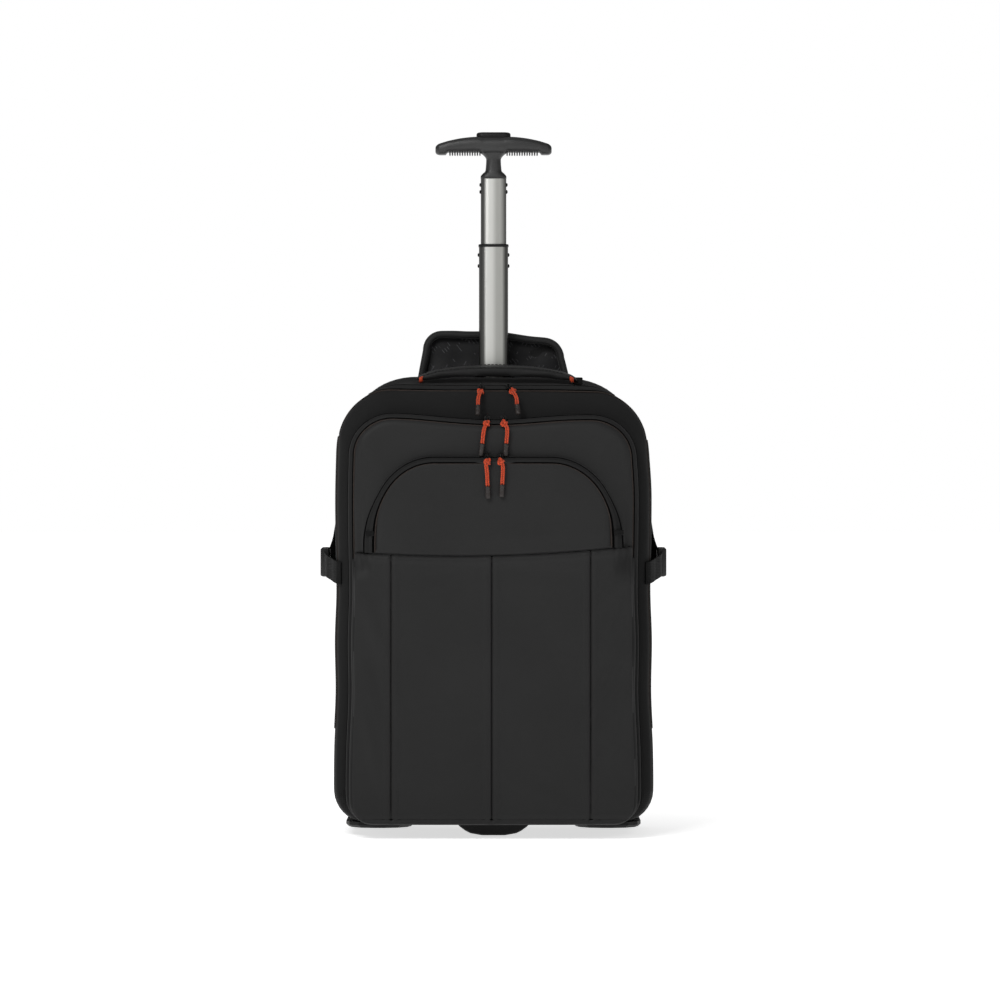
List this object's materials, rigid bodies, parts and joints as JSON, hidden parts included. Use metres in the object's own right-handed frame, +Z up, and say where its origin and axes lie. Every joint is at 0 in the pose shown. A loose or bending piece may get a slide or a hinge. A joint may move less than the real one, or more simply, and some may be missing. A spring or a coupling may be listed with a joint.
{
  "type": "wheeled backpack",
  "caption": "Soft cabin backpack on two wheels with a single-tube telescopic T-handle, three zipped compartments, carry handle, shoulder straps and side compression straps.",
  "frame": {"origin": "on the floor under the middle of the bag's box", "axes": "+Z up along the telescopic tube, -Y towards the front pocket, +X to the right as seen from the front"},
  "size_m": [0.397, 0.2455, 0.808],
  "materials": {
    "shell_cloth": "matt coated polyester cloth",
    "back_mesh": "padded air mesh",
    "zip_tape": "coated reverse-coil zip",
    "zip_metal": "black lacquered zinc",
    "orange_cord": "braided polyester cord",
    "pull_rubber": "moulded soft tip",
    "black_plastic": "moulded nylon",
    "silver_tube": "satin anodised",
    "tyre": "moulded polyurethane",
    "axle_steel": "plain",
    "webbing": "woven polyester webbing"
  },
  "bodies": {
    "root": {"main_shell": "shell_cloth", "front_shell": "shell_cloth", "pocket_shell": "shell_cloth", "handle_cover": "shell_cloth", "carry_handle": "shell_cloth", "back_panel": "back_mesh", "shoulder_pad_l": "back_mesh", "shoulder_pad_r": "back_mesh", "main_zip": "zip_tape", "front_zip": "zip_tape", "pocket_zip": "zip_tape", "slider_main_l": "zip_metal", "slider_main_r": "zip_metal", "slider_front_l": "zip_metal", "slider_front_r": "zip_metal", "slider_pocket_l": "zip_metal", "slider_pocket_r": "zip_metal", "pull_cord_main_l": "orange_cord", "pull_cord_main_r": "orange_cord", "pull_cord_front_l": "orange_cord", "pull_cord_front_r": "orange_cord", "pull_cord_pocket_l": "orange_cord", "pull_cord_pocket_r": "orange_cord", "carry_tab_l": "orange_cord", "carry_tab_r": "orange_cord", "pull_tip_main_l": "pull_rubber", "pull_tip_main_r": "pull_rubber", "pull_tip_front_l": "pull_rubber", "pull_tip_front_r": "pull_rubber", "pull_tip_pocket_l": "pull_rubber", "pull_tip_pocket_r": "pull_rubber", "pole_socket": "black_plastic", "pole_bezel": "black_plastic", "wheel_housing_l": "black_plastic", "wheel_housing_r": "black_plastic", "front_foot": "black_plastic", "buckle_socket_l": "black_plastic", "buckle_socket_r": "black_plastic", "buckle_plug_l": "black_plastic", "buckle_plug_r": "black_plastic", "adjuster_l": "black_plastic", "adjuster_r": "black_plastic", "axle_l": "axle_steel", "axle_r": "axle_steel", "rear_strap_l": "webbing", "rear_strap_r": "webbing", "front_strap_l": "webbing", "front_strap_r": "webbing", "strap_webbing_l": "webbing", "strap_webbing_r": "webbing"},
    "pole_lower": {"outer_tube": "silver_tube", "tube_collar": "black_plastic"},
    "pole_upper": {"inner_tube": "silver_tube", "grip": "black_plastic"},
    "button": {"grip_button": "black_plastic"},
    "wheel_left": {"wheel_l": "tyre"},
    "wheel_right": {"wheel_r": "tyre"}
  },
  "joints": [
    {"name": "lower_stage", "type": "slide", "parent": "root", "child": "pole_lower", "axis": [0, 0, 1], "range_m": [-0.145, 0.105]},
    {"name": "upper_stage", "type": "slide", "parent": "pole_lower", "child": "pole_upper", "axis": [0, 0, 1], "range_m": [-0.0755, 0.13]},
    {"name": "button_press", "type": "slide", "parent": "pole_upper", "child": "button", "axis": [0, 0, -1], "range_m": [0, 0.004], "stiffness_N_per_m": 400, "springref_m": -0.0005},
    {"name": "wheel_left_spin", "type": "hinge", "parent": "root", "child": "wheel_left", "pos_m": [-0.131, 0.0712, 0.0325], "axis": [1, 0, 0], "continuous": true},
    {"name": "wheel_right_spin", "type": "hinge", "parent": "root", "child": "wheel_right", "pos_m": [0.131, 0.0712, 0.0325], "axis": [1, 0, 0], "continuous": true}
  ]
}
